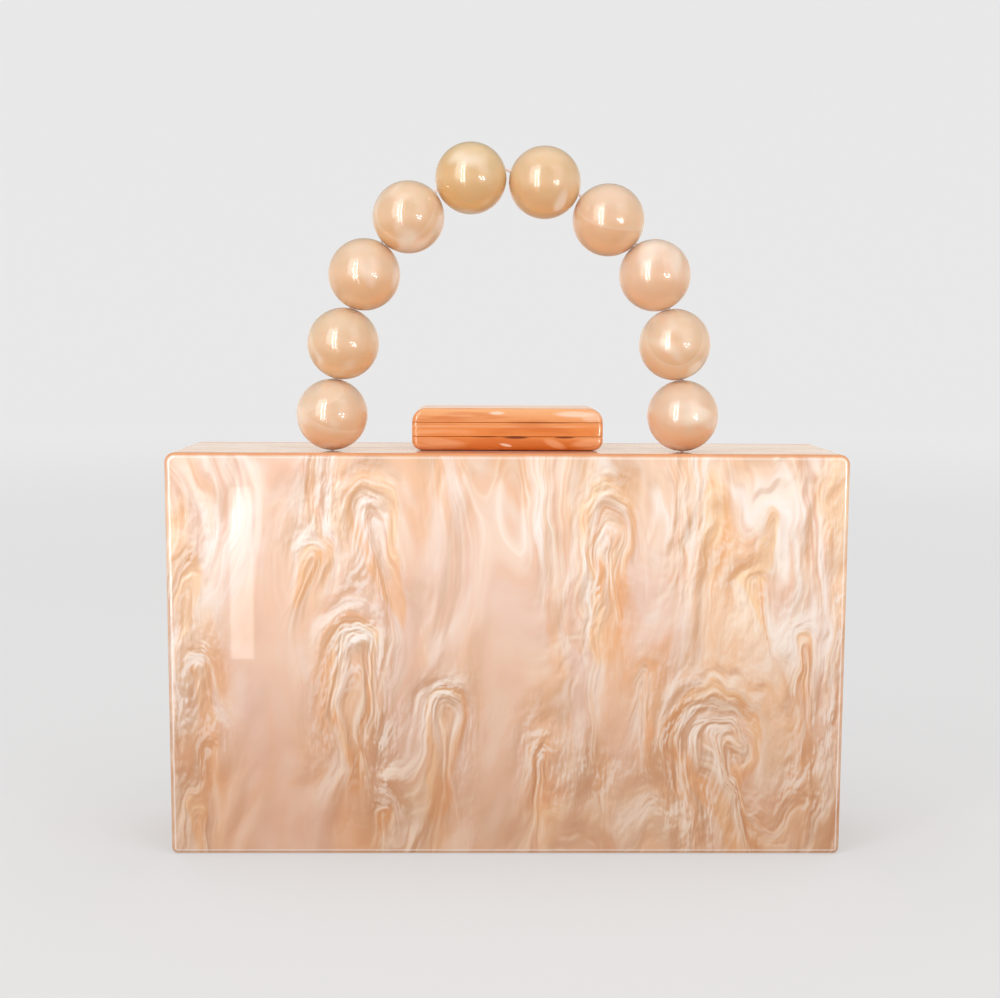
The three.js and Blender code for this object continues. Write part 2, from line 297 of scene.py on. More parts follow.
def graded(start, end, step, fine, band):
    """Places from start to end, a fine step apart within a band at both ends, else a step apart."""
    near = start + np.linspace(0, band, round(band / fine) + 1)
    far = end - np.linspace(0, band, round(band / fine) + 1)[::-1]
    middle = np.linspace(start + band, end - band, round((end - start - 2 * band) / step) + 1)
    return np.concatenate([near, middle[1:-1], far])


def rounded_ring(low_a, high_a, low_b, high_b, radii, step):
    """Rounded rectangles in two directions a and b, one for each station, as (stations, n, 2).

    Each side is a straight run of points, and each corner a quarter circle of its own radius, in
    the order low-low, high-low, high-high, low-high. The number of points is the same at every
    station, so the rings join.
    """
    low_a, high_a, low_b, high_b = np.broadcast_arrays(low_a, high_a, low_b, high_b)
    radii = [np.broadcast_to(r, low_a.shape) for r in radii]
    corners = (
        (low_a, low_b, 1, 1, math.pi),
        (high_a, low_b, -1, 1, 1.5 * math.pi),
        (high_a, high_b, -1, -1, 0.0),
        (low_a, high_b, 1, -1, 0.5 * math.pi),
    )
    turns = np.linspace(0, 0.5 * math.pi, CORNER_POINTS)
    arcs = []
    for (a, b, way_a, way_b, start), radius in zip(corners, radii):
        centre_a = (a + way_a * radius)[:, None]
        centre_b = (b + way_b * radius)[:, None]
        arc_a = centre_a + radius[:, None] * np.cos(start + turns)
        arc_b = centre_b + radius[:, None] * np.sin(start + turns)
        arcs.append(np.stack([arc_a, arc_b], axis=-1))
    ring = []
    for k, arc in enumerate(arcs):
        follower = arcs[(k + 1) % 4]
        length = np.abs(follower[:, 0] - arc[:, -1]).sum(axis=-1).max()
        share = np.linspace(0, 1, max(2, round(length / step) + 1))[1:-1]
        run = arc[:, -1:, :] + share[None, :, None] * (follower[:, :1] - arc[:, -1:])
        ring += [arc, run]
    return np.concatenate(ring, axis=1)


# The pearl's flow

def ripples(across, up, waves):
    """How far each place is pushed, in mm: a sum of sine waves whose lengths, ways and phases come
    from one seeded draw, each as high as a share of its length."""
    shortest, longest, count, share, seed = waves
    share_across, share_up = WAVE_SHARES
    draw = np.random.default_rng(seed)
    ways = draw.uniform(0, math.pi, count)
    lengths = draw.uniform(shortest, longest, count)
    phases = draw.uniform(0, 2 * math.pi, (2, count))
    shift = [np.zeros_like(across), np.zeros_like(across)]
    for way, length, *starts in zip(ways, lengths, *phases):
        along = share_across * across * math.cos(way) + share_up * up * math.sin(way)
        wave = 2 * math.pi / length * along
        for k, start in enumerate(starts):
            shift[k] = shift[k] + share * length * np.sin(wave + start)
    return shift


def flow(across, up, plumes, lively):
    """Where each place of a set sheet came from, in mm. The crinkles count as far as it is lively.

    A plume is a pair of eddies side by side. Its stream function is its speed times the distance
    across it times a bell curve of the distance from its middle, which pushes straight up in the
    middle and back down at both sides. The places are carried backwards in time, in small steps,
    through all the plumes as they rise. What they were carried upwards is then drawn out, so that
    level layers come out as nested arches.
    """
    shift_x, shift_z = ripples(across, up, CRINKLES)
    x, z = across + shift_x * lively, up + shift_z * lively
    for step in range(FLOW_STEPS):
        before_end = (step + 0.5) / FLOW_STEPS
        drift_x, drift_z = np.zeros_like(x), np.zeros_like(z)
        for place_x, place_z, size, rise, turns, lean in plumes:
            sine, cosine = math.sin(math.radians(lean)), math.cos(math.radians(lean))
            off_x = (x - place_x + before_end * rise * sine) / size
            off_z = (z - place_z + before_end * rise * cosine) / size
            beside = off_x * cosine - off_z * sine
            along = off_x * sine + off_z * cosine
            speed = 2 * math.pi * size * turns
            push = speed * np.exp(-0.5 * (beside ** 2 + along ** 2))
            forward, sideways = push * (1 - beside ** 2), push * beside * along
            drift_x += sideways * cosine + forward * sine
            drift_z += forward * cosine - sideways * sine
        x -= drift_x / FLOW_STEPS
        z -= drift_z / FLOW_STEPS
    z = z + ARCH_GAIN * (z - up)
    bend_x, bend_z = ripples(x, z, BENDS)
    bent = CALM_BEND + (1 - CALM_BEND) * lively
    return x + bend_x * bent, z + bend_z * bent


def silk(across, up, plumes, lively, creased):
    """Vectors for each place, in mm: where it came from, with how lively it is, and how that place
    changes over a small step towards the light, with how far up it was carried; then the same for a
    place between its own and the one that it came from, where the creases lie, with how creased it
    is."""
    step = SILK_STEP * np.array(SILK_LIGHT)
    own = np.stack([across, up], axis=-1)
    came = np.stack(flow(across, up, plumes, lively), axis=-1)
    near = np.stack(flow(across + step[0], up + step[1], plumes, lively), axis=-1)
    lean = np.clip(near - came, -LEAN_LIMIT, LEAN_LIMIT)
    crease = own + CREASE_SHARE * (came - own)
    crease_lean = step + CREASE_SHARE * (lean - step)
    level = np.zeros_like(lively)
    return {
        "pearl": np.column_stack([came, lively]),
        "lean": np.column_stack([lean, up - came[:, 1]]),
        "crease": np.column_stack([crease, creased]),
        "crease_lean": np.column_stack([crease_lean, level]),
    }


def patches(across, up, ovals):
    """From 0 to 1: how much of the soft ovals covers each place. What is left uncovered is the
    product, over the ovals, of 1 less its share times a bell curve of the distance from its
    middle, counted in its half width and half height."""
    left = np.ones_like(across)
    for x, z, wide, high, share in ovals:
        left *= 1 - share * np.exp(-(((across - x) / wide) ** 2 + ((up - z) / high) ** 2))
    return 1 - left


# Pearl sheets

def plate(node, facing, plumes):
    """A face plate: a close grid on each face, joined by loops round the rounded rim.

    A grid place (across, up) is a share of the sheet's width and height. A loop is set in from the
    outline by a distance that falls along a quarter circle. In each corner square, a place keeps
    its direction from the corner's centre and is drawn in by the ratio of its larger offset to its
    distance, which turns the square corner into a round one.
    """
    low, high = (np.array(corner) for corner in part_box(node))
    half_width, height = (high[0] - low[0]) / 2, high[2] - low[2]
    outer_y, inner_y = (low[1], high[1]) if facing < 0 else (high[1], low[1])
    inwards = 1 if facing < 0 else -1
    across = graded(-half_width, half_width, FACE_STEP, EDGE_STEP, EDGE_BAND) / half_width
    rising = graded(0, height, FACE_STEP, EDGE_STEP, EDGE_BAND) / height
    grid_across, grid_up = np.meshgrid(across, rising)

    def at_inset(share_across, share_up, inset, y):
        x = share_across * (half_width - inset)
        z = inset + share_up * (height - 2 * inset)
        for radius, level, way in ((TOP_CORNER, height, 1), (BOTTOM_CORNER, 0.0, -1)):
            corner = max(radius - inset, 0.05 * MM)
            centre_x = half_width - inset - corner
            centre_z = level - way * (inset + corner)
            off_x = np.maximum(np.abs(x) - centre_x, 0)
            off_z = np.maximum(way * (z - centre_z), 0)
            far = np.hypot(off_x, off_z)
            ratio = np.where(far > 0, np.maximum(off_x, off_z) / np.where(far > 0, far, 1), 1)
            inside = (off_x > 0) & (off_z > 0)
            x = np.where(inside, np.sign(x) * (centre_x + off_x * ratio), x)
            z = np.where(inside, centre_z + way * off_z * ratio, z)
        return np.stack([x, np.full_like(x, y), z], axis=-1)

    rows, columns = grid_across.shape
    index = np.arange(rows * columns).reshape(rows, columns)
    rim = np.concatenate([index[0, :-1], index[:-1, -1], index[-1, :0:-1], index[:0:-1, 0]])
    turns = np.linspace(0, 0.5 * math.pi, ROUND_POINTS)
    insets = list(PLATE_ROUNDING * (1 - np.sin(turns)))[1:] + [0.0]
    depths = list(PLATE_ROUNDING * (1 - np.cos(turns)))[1:]
    depths.append(abs(inner_y - outer_y) - INNER_BEVEL)
    front = at_inset(grid_across, grid_up, PLATE_ROUNDING, outer_y).reshape(-1, 3)
    back = at_inset(grid_across, grid_up, INNER_BEVEL, inner_y).reshape(-1, 3)
    rim_across, rim_up = grid_across.ravel()[rim], grid_up.ravel()[rim]
    loops = [
        at_inset(rim_across, rim_up, inset, outer_y + inwards * depth)
        for inset, depth in zip(insets, depths)
    ]
    points = np.concatenate([front, *loops, back])
    start = len(front)
    ladders = [rim]
    for loop in loops:
        ladders.append(start + np.arange(len(loop)))
        start += len(loop)
    ladders.append(start + rim)
    quads = np.stack([index[:-1, :-1], index[:-1, 1:], index[1:, 1:], index[1:, :-1]], axis=-1)
    quads = quads.reshape(-1, 4)
    faces = [quads, start + quads[:, ::-1]]
    for near, far in zip(ladders[:-1], ladders[1:]):
        rung = np.stack([np.roll(near, -1), near, far, np.roll(far, -1)], axis=-1)
        faces.append(rung)
    place_x, place_z = -facing * points[:, 0] / MM, points[:, 2] / MM
    lively = 1 - patches(place_x, place_z, CALM_PATCHES)
    creased = patches(place_x, place_z, CREASE_PATCHES)
    values = silk(points[:, 0] / MM, points[:, 2] / MM, plumes, lively, creased)
    tones = [patches(place_x, place_z, ovals)
             for ovals in (TAN_PATCHES, CREAM_PATCHES, ORANGE_PATCHES)]
    values["tone"] = np.stack(tones, axis=-1)
    loop_shares = [0.0, *np.linspace(0, 1, len(turns))[1:], 1.0, 0.0]
    sizes = [len(front)] + [len(rim)] * len(loops) + [len(back)]
    values["rim"] = np.repeat(loop_shares, sizes)
    piece = surface(node + "_sheet", points, faces, values)
    flatten_faces(piece)
    return piece


def corner_inset(height, low, high, bottom_radius, top_radius):
    """How far a side lies inside its outline at a height, where quarter circles round both ends."""
    into_top = np.clip(height - (high - top_radius), 0, top_radius)
    into_bottom = np.clip((low + bottom_radius) - height, 0, bottom_radius)
    top = top_radius - np.sqrt(np.maximum(top_radius ** 2 - into_top ** 2, 0))
    bottom = bottom_radius - np.sqrt(np.maximum(bottom_radius ** 2 - into_bottom ** 2, 0))
    return top + bottom


def stations_with_arcs(low, high, bottom_radius, top_radius, step):
    """Heights from low to high, closer together through the arcs at both ends."""
    turns = np.linspace(FIRST_ANGLE, 0.5 * math.pi, ROUND_POINTS)
    bottom = low + bottom_radius * (1 - np.cos(turns))
    top = high - top_radius * (1 - np.cos(turns))
    middle = np.arange(low + bottom_radius + step, high - top_radius - 0.5 * step, step)
    return np.concatenate([bottom, middle, top[::-1]])


def side_wall(node):
    """An upright wall: rings in X and Y carried up Z. The outer face draws in along quarter circles
    at the box's corners, and the seam edge steps back at the bottom to clear the hinge."""
    low, high = (np.array(corner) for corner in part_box(node))
    side = 1 if low[0] + high[0] > 0 else -1
    facing = 1 if low[1] + high[1] > 0 else -1
    levels = stations_with_arcs(low[2], high[2], BOTTOM_CORNER, TOP_CORNER, WALL_STEP)
    notch = np.array([HINGE_NOTCH - 0.05 * MM, HINGE_NOTCH])
    levels = np.sort(np.concatenate([levels[np.abs(levels - HINGE_NOTCH) > 0.2 * MM], notch]))
    inset = corner_inset(levels, low[2], high[2], BOTTOM_CORNER, TOP_CORNER)
    outer, inner = (high[0], low[0]) if side > 0 else (low[0], high[0])
    outer = outer - side * inset
    seam = np.where(levels < HINGE_NOTCH - 0.01 * MM, facing * HINGE_NOTCH,
                    high[1] if facing < 0 else low[1])
    glued = low[1] if facing < 0 else high[1]
    bevel = np.minimum(SEAM_BEVEL, 0.4 * np.abs(outer - inner))
    low_x, high_x = np.minimum(outer, inner), np.maximum(outer, inner)
    low_y, high_y = np.minimum(seam, glued), np.maximum(seam, glued)
    ring = rounded_ring(low_x, high_x, low_y, high_y, [bevel] * 4, WALL_STEP)
    heights = np.broadcast_to(levels[:, None], ring.shape[:2])
    points, faces = loft(np.dstack([ring, heights]))
    return sheet_piece(node, points, faces, points[:, 1], points[:, 2], np.abs(points[:, 1]))


def level_wall(node):
    """A level wall: rings in Y and Z carried along X."""
    low, high = (np.array(corner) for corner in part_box(node))
    places = np.arange(low[0], high[0] + 0.5 * WALL_STEP, WALL_STEP)
    places[-1] = high[0]
    ones = np.ones_like(places)
    ring = rounded_ring(low[1] * ones, high[1] * ones, low[2] * ones, high[2] * ones,
                        [SEAM_BEVEL] * 4, WALL_STEP)
    along = np.broadcast_to(places[:, None], ring.shape[:2])
    points, faces = loft(np.dstack([along, ring]))
    return sheet_piece(node, points, faces, points[:, 1], points[:, 0], np.abs(points[:, 1]))


def sheet_piece(node, points, faces, across, along, from_seam):
    """A wall's surface with its pearl's flow, and its cut edge at the seam marked as rim."""
    values = silk(across / MM + WALL_START, along / MM, WALL_PLUMES,
                  np.full(len(points), WALL_LIVELY), np.full(len(points), WALL_CREASED))
    values["rim"] = np.clip(1 - (from_seam - 0.1 * MM) / (0.3 * MM), 0, 1)
    values["tone"] = np.tile(WALL_TONE, (len(points), 1))
    piece = surface(node + "_sheet", points, faces, values)
    flatten_faces(piece)
    return piece


# A wall's place across is its Y, moved by WALL_START mm so that the walls are cut from another place
WALL_START = 400.0
WALL_LIVELY = 0.8
WALL_CREASED = 0.45
WALL_TONE = (0.25, 0.35, 0.25)
WALL_PLUMES = (
    # x, z, size, rise, turns, lean, in mm and degrees
    (412, 96, 5.0, 30, 0.5, 4),
    (409, 48, 6.0, 30, 0.5, -4),
    (413, 14, 4.0, 20, 0.4, 0),
    (388, 88, 5.5, 30, 0.5, -6),
    (391, 52, 4.5, 26, 0.5, 3),
    (387, 22, 5.0, 20, 0.4, 0),
    (412, -40, 5.0, 30, 0.4, 4),
    (388, -70, 5.5, 30, 0.5, -4),
)


# Clasp

def clasp_layer(node, bar_low, bar_high):
    """One sheet of a clasp bar: rings in X and Y carried up Z through the sheet's own height.

    At each height, the bar's ends draw in along its corner circles, and its outer face and upright
    edges draw in along the rounding. A small bevel at the glued faces leaves the glue line.
    """
    low, high = (np.array(corner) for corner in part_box(node))
    facing = 1 if low[1] + high[1] > 0 else -1
    bottom, top = bar_low[2], bar_high[2]
    levels = stations_with_arcs(bottom, top, CLASP_BOTTOM_RADIUS, CLASP_TOP_RADIUS, WALL_STEP)
    bevels = GLUE_BEVEL * (1 - np.cos(np.linspace(0, 0.5 * math.pi, 4)))
    levels = np.concatenate([low[2] + bevels, levels, high[2] - bevels])
    levels = np.unique(np.round(levels[(levels >= low[2]) & (levels <= high[2])], 7))
    inset = corner_inset(levels, bottom, top, CLASP_BOTTOM_RADIUS, CLASP_TOP_RADIUS)
    rounding = corner_inset(levels, bottom, top, CLASP_ROUNDING, CLASP_ROUNDING)
    glue = corner_inset(levels, low[2], high[2], GLUE_BEVEL, GLUE_BEVEL)
    half = (bar_high[0] - bar_low[0]) / 2 - inset - glue
    outer = facing * (max(abs(bar_low[1]), abs(bar_high[1])) - rounding - glue)
    seam = facing * (min(abs(bar_low[1]), abs(bar_high[1])) + glue) * np.ones_like(levels)
    edge = np.maximum(CLASP_ROUNDING - 0.4 * rounding, 0.3 * MM)
    small = np.full_like(levels, SEAM_BEVEL)
    radii = [edge, edge, small, small] if facing < 0 else [small, small, edge, edge]
    ring = rounded_ring(-half, half, np.minimum(outer, seam), np.maximum(outer, seam), radii,
                        WALL_STEP)
    heights = np.broadcast_to(levels[:, None], ring.shape[:2])
    points, faces = loft(np.dstack([ring, heights]))
    piece = surface(node + "_layer", points, faces)
    flatten_faces(piece)
    return piece


# Beads

BEAD_ROUND = 72
BEAD_RINGS = 40
# How far out the wider bore reaches, as a share of the radius
BORE_REACH = 0.9
# How far apart the beads' places lie in the pearl, in radii, so that no two look the same
BEAD_APART = 7.3
# From pink to yellow, for each bead
BEAD_WARMTH = (0.2, 0.4, 0.3, 0.4, 1.0, 0.7, 0.2, 0.0, 0.3, 0.1)


def bead(number, centre, radius, bore, turn):
    """A drilled round bead: a half circle of latitudes turned about the bore, whose profile runs
    along the sphere from mouth to mouth, and back through the bore, which is wider inside."""
    edge = math.acos(BEAD_MOUTH / radius)
    latitude = np.linspace(-edge, edge, BEAD_RINGS)
    out = np.concatenate([radius * np.cos(latitude), [BEAD_BORE, BEAD_BORE]])
    along = np.concatenate([radius * np.sin(latitude), BORE_REACH * radius * np.array([1, -1])])
    around = np.linspace(0, 2 * math.pi, BEAD_ROUND, endpoint=False)
    x = out[:, None] * np.cos(around)
    y = out[:, None] * np.sin(around)
    z = np.broadcast_to(along[:, None], x.shape)
    rings = np.stack([x, y, z], axis=-1)
    index = np.arange(rings[..., 0].size).reshape(rings.shape[:2])
    ahead, up = np.roll(index, -1, axis=1), np.roll(index, -1, axis=0)
    quads = np.stack([index, ahead, np.roll(up, -1, axis=1), up], axis=-1).reshape(-1, 4)
    local = rings.reshape(-1, 3)
    tilt = np.array(Matrix.Rotation(math.pi / 2 - bore, 3, "Y"))
    points = local @ tilt.T + centre
    pearl_turn = np.array(Matrix.Rotation(math.radians(turn[0]), 3, "Y")
                          @ Matrix.Rotation(math.radians(turn[1]), 3, "X"))
    place = (points - centre) / radius @ pearl_turn.T
    return surface(f"bead_{number}_pearl", points, [quads], {
        "bead_place": place + (0.0, 0.0, BEAD_APART * number),
        # How high each point is on the bead, for its painted light on top and painted shade below
        "bead_painted_light_height": (points - centre)[:, 2] / radius,
        "bead_warmth": np.full(len(points), BEAD_WARMTH[number - 1]),
    })


# Materials

class Look:
    """A material made of nodes, with short ways to add and join them."""

    def __init__(self, name):
        self.material = bpy.data.materials.new(name)
        self.material.use_nodes = True
        self.tree = self.material.node_tree
        self.shader = self.tree.nodes["Principled BSDF"]

    def add(self, kind, **settings):
        node = self.tree.nodes.new(kind)
        for key, value in settings.items():
            setattr(node, key, value)
        return node

    def feed(self, socket, value):
        """Joins an output to a socket, or sets a plain value on it."""
        if isinstance(value, bpy.types.NodeSocket):
            self.tree.links.new(value, socket)
        elif value is not None:
            socket.default_value = value

    def set(self, **values):
        """Sets the shader's own sockets, with _ for a space."""
        for key, value in values.items():
            self.feed(self.shader.inputs[key.replace("_", " ")], value)

    def attribute(self, name, output="Vector"):
        return self.add("ShaderNodeAttribute", attribute_name=name).outputs[output]

    def place(self):
        return self.add("ShaderNodeTexCoord").outputs["Object"]

    def parts(self, vector):
        return self.add_fed("ShaderNodeSeparateXYZ", [vector]).outputs

    def add_fed(self, kind, values, **settings):
        node = self.add(kind, **settings)
        for socket, value in zip(node.inputs, values):
            self.feed(socket, value)
        return node

    def vector_sum(self, a, b):
        return self.add_fed("ShaderNodeVectorMath", [a, b], operation="ADD").outputs[0]

    def stretch(self, vector, scale):
        return self.add_fed("ShaderNodeVectorMath", [vector, scale], operation="MULTIPLY").outputs[0]

    def maths(self, operation, a, b=None, clamp=False):
        return self.add_fed("ShaderNodeMath", [a, b], operation=operation, use_clamp=clamp).outputs[0]

    def noise(self, vector, detail, rough=0.5):
        """A cloudy pattern about 1 long, from 0 to 1."""
        node = self.add("ShaderNodeTexNoise")
        for name, value in (("Vector", vector), ("Scale", 1.0), ("Detail", detail), ("Roughness", rough)):
            self.feed(node.inputs[name], value)
        return node.outputs["Fac"]

    def smooth(self, value, low, high):
        """0 up to low, 1 from high on, and a smooth rise between."""
        node = self.add("ShaderNodeMapRange", interpolation_type="SMOOTHSTEP")
        self.feed(node.inputs["Value"], value)
        self.feed(node.inputs["From Min"], low)
        self.feed(node.inputs["From Max"], high)
        return node.outputs["Result"]

    def mix(self, share, a, b, blend="MIX"):
        """a and b mixed by a share, or a times b, which is then kept to 1 at most."""
        node = self.add("ShaderNodeMix", data_type="RGBA", blend_type=blend, clamp_result=blend != "MIX")
        self.feed(node.inputs[0], share)
        for socket, value in ((node.inputs[6], a), (node.inputs[7], b)):
            self.feed(socket, (*value, 1.0) if isinstance(value, tuple) else value)
        return node.outputs[2]


def linear(red, green, blue):
    """A screen colour, from 0 to 1, as the light that a shader works in."""
    return tuple(c / 12.92 if c <= 0.04045 else ((c + 0.055) / 1.055) ** 2.4 for c in (red, green, blue))


CREAM = linear(0.990, 0.925, 0.860)
PINK = linear(0.910, 0.758, 0.690)
PEACH = linear(0.940, 0.780, 0.650)
TAN = linear(0.800, 0.655, 0.525)
WHITE = linear(1.0, 0.975, 0.960)
ORANGE = linear(0.930, 0.690, 0.490)
CARAMEL = linear(0.900, 0.600, 0.390)
# Painted shade of the broad relief, painted shade of the fine relief and painted highlight of the broad
# relief
BROAD_RELIEF_SHADE = linear(0.805, 0.620, 0.480)
FINE_RELIEF_SHADE = linear(0.780, 0.560, 0.390)
BROAD_RELIEF_HIGHLIGHT = linear(0.975, 0.915, 0.880)
# Painted pearly sheen
PEARL_SHEEN = linear(0.965, 0.935, 0.910)
# The clasp bar's foot and its rise, by which its colours are placed
CLASP_FOOT = 120.1 * MM
CLASP_RISE = 12.6 * MM
CLASP_TOP = linear(0.970, 0.700, 0.480)
CLASP_MIDDLE = linear(0.920, 0.540, 0.250)
CLASP_LOW = linear(0.820, 0.410, 0.100)
CLASP_PALE = linear(0.980, 0.720, 0.520)
CLASP_DEEP = linear(0.830, 0.400, 0.090)
CLASP_GLINT = linear(1.000, 0.880, 0.780)
CLASP_DARK = linear(0.460, 0.180, 0.020)
# The first four bead colours are painted light on top and painted shade at the foot
BEAD_TOP_LIT = linear(0.910, 0.795, 0.700)
BEAD_TOP_LIT_WARM = linear(0.872, 0.762, 0.590)
BEAD_FOOT_SHADE = linear(0.925, 0.730, 0.565)
BEAD_FOOT_SHADE_WARM = linear(0.885, 0.695, 0.450)
# Pale cloud, partly painted pearly sheen
BEAD_CLOUD_AND_SHEEN = linear(0.985, 0.925, 0.865)
BEAD_SHEEN = linear(0.985, 0.905, 0.820)
BEAD_LINE = linear(0.82, 0.62, 0.46)
THREAD_PALE = linear(0.97, 0.90, 0.87)
THREAD_GLOW = linear(0.97, 0.88, 0.84)
STEEL_DARK = linear(0.62, 0.60, 0.58)
STEEL_BRIGHT = linear(0.78, 0.76, 0.74)

# Soft ovals in the clasp bar: x in mm, height as a share of the bar's, half width in mm, half
# height, lean, how strong, colour; those in the glint colour are painted highlights
CLASP_SPOTS = (
    (-3.2, 0.885, 2.8, 0.050, 0.0, 0.90, CLASP_GLINT),
    (20.0, 0.860, 7.5, 0.085, 0.1, 0.80, CLASP_GLINT),
    (-14.0, 0.820, 6.0, 0.030, 0.0, 0.50, CLASP_PALE),
    (25.0, 0.800, 4.0, 0.150, 0.0, 0.45, CLASP_GLINT),
    (-20.0, 0.200, 9.0, 0.120, 0.5, 0.45, CLASP_PALE),
    (-6.0, 0.120, 7.0, 0.200, 0.0, 0.50, CLASP_DEEP),
    (-0.5, 0.130, 2.2, 0.040, 0.8, 0.70, CLASP_GLINT),
    (14.0, 0.160, 4.0, 0.120, 0.9, 0.45, CLASP_PALE),
    (24.0, 0.180, 6.0, 0.120, -0.4, 0.45, CLASP_PALE),
    (2.5, 0.310, 4.6, 0.040, 0.0, 0.95, CLASP_DARK),
    (17.0, 0.315, 3.8, 0.032, 0.0, 0.90, CLASP_DARK),
    (-7.0, 0.325, 5.0, 0.022, 0.0, 0.60, CLASP_DARK),
    (10.0, 0.660, 13.0, 0.018, 0.0, 0.60, CLASP_DARK),
)
# What the pearl's colours are multiplied by: at the foot, painted shade with some of its own deeper
# colour; near the top, painted light; and where it is amber
FOOT_SHADE_AND_DEEP_TINT = linear(0.90, 0.835, 0.77)
TOP_PAINTED_LIGHT_TINT = (1.10, 1.10, 1.09)
AMBER_TINT = (1.02, 0.85, 0.63)


def pearl_acrylic():
    """Cast pearl sheet: satin folds carried by the flow, with painted highlight on the side that faces
    the light and painted shade on the other, streaks of cream, tan and orange, dabs of painted pearly
    sheen and an amber outline round each plume, paler near the top by painted light and deeper at the
    foot by painted shade and its own deeper colour, under a clear polished face."""
    look = Look("pearl_acrylic")
    came, lean = look.attribute("pearl"), look.attribute("lean")
    crease, crease_lean = look.attribute("crease"), look.attribute("crease_lean")
    lively, carried = look.parts(came)[2], look.parts(lean)[2]
    tan, cream, orange = look.parts(look.attribute("tone"))
    rim = look.attribute("rim", "Fac")
    level = look.parts(look.place())[2]

    def pattern(scale, detail, layer, where=came, by=lean, side=0.0):
        """A layer of noise at the place that each place follows, or at one a share of the way to
        where it would be a step nearer the light."""
        moved = look.vector_sum(where, look.stretch(by, (side, side, 0.0))) if side else where
        placed = look.vector_sum(look.stretch(moved, (*scale, 0.0)), (0.0, 0.0, layer))
        return look.noise(placed, detail)

    def emboss(scale, detail, layer, high, where=came, by=lean):
        """The pattern taken as a height: how far each place faces the light, and faces away."""
        fall = look.maths("SUBTRACT", pattern(scale, detail, layer, where, by, -0.5),
                          pattern(scale, detail, layer, where, by, 0.5))
        return look.smooth(fall, 0.0, high), look.smooth(fall, 0.0, -high)

    def times(*values):
        """The product of the values."""
        product = values[0]
        for value in values[1:]:
            product = look.maths("MULTIPLY", product, value)
        return product

    def blend(colour, other, *shares):
        """The colour with the other over it, by the product of the shares."""
        return look.mix(times(*shares), colour, other)

    # Painted highlight and shade of a relief, from broad folds to small creases; a little of it shows in
    # the calm places too
    folds = (0.042, 0.026)
    fold_lit, fold_shaded = emboss(folds, 2.0, 0.0, 0.038)
    line_lit, line_shaded = emboss((0.110, 0.060), 2.0, 4.0, 0.100)
    crease_lit, crease_shaded = emboss((0.155, 0.070), 3.0, 12.0, 0.046, crease, crease_lean)
    soft_lit, soft_shaded = emboss((0.060, 0.032), 1.0, 15.0, 0.020, crease, crease_lean)
    shown = look.maths("ADD", times(lively, 0.75), 0.25)
    clusters = look.smooth(pattern((0.050, 0.030), 1.0, 18.0, crease), 0.34, 0.56)
    creased = times(look.parts(crease)[2], look.maths("ADD", times(clusters, 0.6), 0.4))

    # The ground, with streaks of orange, cream and tan
    broad = look.smooth(pattern((0.040, 0.012), 2.0, 8.0), 0.40, 0.62)
    band = pattern((0.085, 0.012), 2.0, 3.0)
    fine = pattern((0.50, 0.016), 3.0, 6.0)
    colour = look.mix(times(broad, shown), PINK, PEACH)
    colour = blend(colour, ORANGE, look.smooth(band, 0.36, 0.58), orange, 0.85)
    colour = blend(colour, ORANGE, look.smooth(band, 0.52, 0.68), shown, 0.50)
    colour = blend(colour, ORANGE, look.smooth(fine, 0.46, 0.30), cream, 0.40)
    colour = blend(colour, CREAM, look.smooth(fine, 0.40, 0.60), cream, 0.85)
    colour = blend(colour, WHITE, look.smooth(fine, 0.54, 0.70), cream, 0.80)
    tan_spots = look.smooth(pattern((0.10, 0.04), 3.0, 9.0), 0.36, 0.62)
    colour = blend(colour, TAN, look.maths("ADD", times(tan_spots, 0.6), 0.4), tan, 0.9)
    # Painted shade and painted highlight of the broad relief
    colour = blend(colour, BROAD_RELIEF_SHADE, soft_shaded, shown, 0.55)
    colour = blend(colour, BROAD_RELIEF_HIGHLIGHT, soft_lit, shown, 0.50)
    colour = blend(colour, BROAD_RELIEF_SHADE, fold_shaded, shown, 0.60)
    colour = blend(colour, BROAD_RELIEF_HIGHLIGHT, fold_lit, shown, 0.60)
    # Painted pearly sheen in pale dabs, mostly near the top, then amber blobs and an amber outline round
    # each plume
    sheen_dabs = look.smooth(pattern((0.110, 0.034), 2.0, 25.0), 0.48, 0.62)
    near_top = look.smooth(level, 0.080, 0.120)
    milky = look.maths("ADD", times(cream, 0.6), look.maths("ADD", times(near_top, 0.35), 0.18), True)
    colour = blend(colour, PEARL_SHEEN, sheen_dabs, milky, shown, 0.85)
    amber = look.smooth(pattern((0.080, 0.026), 2.0, 21.0), 0.46, 0.57)
    amber = times(amber, look.maths("ADD", times(orange, 0.6), 0.4), shown)
    outline = times(look.smooth(carried, 3.0, 8.0), look.smooth(carried, 26.0, 14.0))
    tint = look.mix(look.maths("MAXIMUM", amber, outline), (1.0, 1.0, 1.0), AMBER_TINT)
    colour = look.mix(1.0, colour, tint, "MULTIPLY")
    # Painted shade and painted highlight of the fine relief
    colour = blend(colour, FINE_RELIEF_SHADE, line_shaded, lively, 0.40)
    colour = blend(colour, CREAM, line_lit, lively, 0.50)
    colour = blend(colour, FINE_RELIEF_SHADE, crease_shaded, creased, 0.60)
    colour = blend(colour, WHITE, crease_lit, creased, 0.75)
    # Painted light: paler near the top; deeper towards the foot, painted shade with some of the sheet's
    # own deeper colour
    high = look.mix(look.smooth(level, 0.04, 0.12), (1.0, 1.0, 1.0), TOP_PAINTED_LIGHT_TINT)
    colour = look.mix(1.0, colour, high, "MULTIPLY")
    low = look.mix(look.smooth(level, 0.0, 0.085), FOOT_SHADE_AND_DEEP_TINT, (1.0, 1.0, 1.0))
    colour = look.mix(1.0, colour, low, "MULTIPLY")
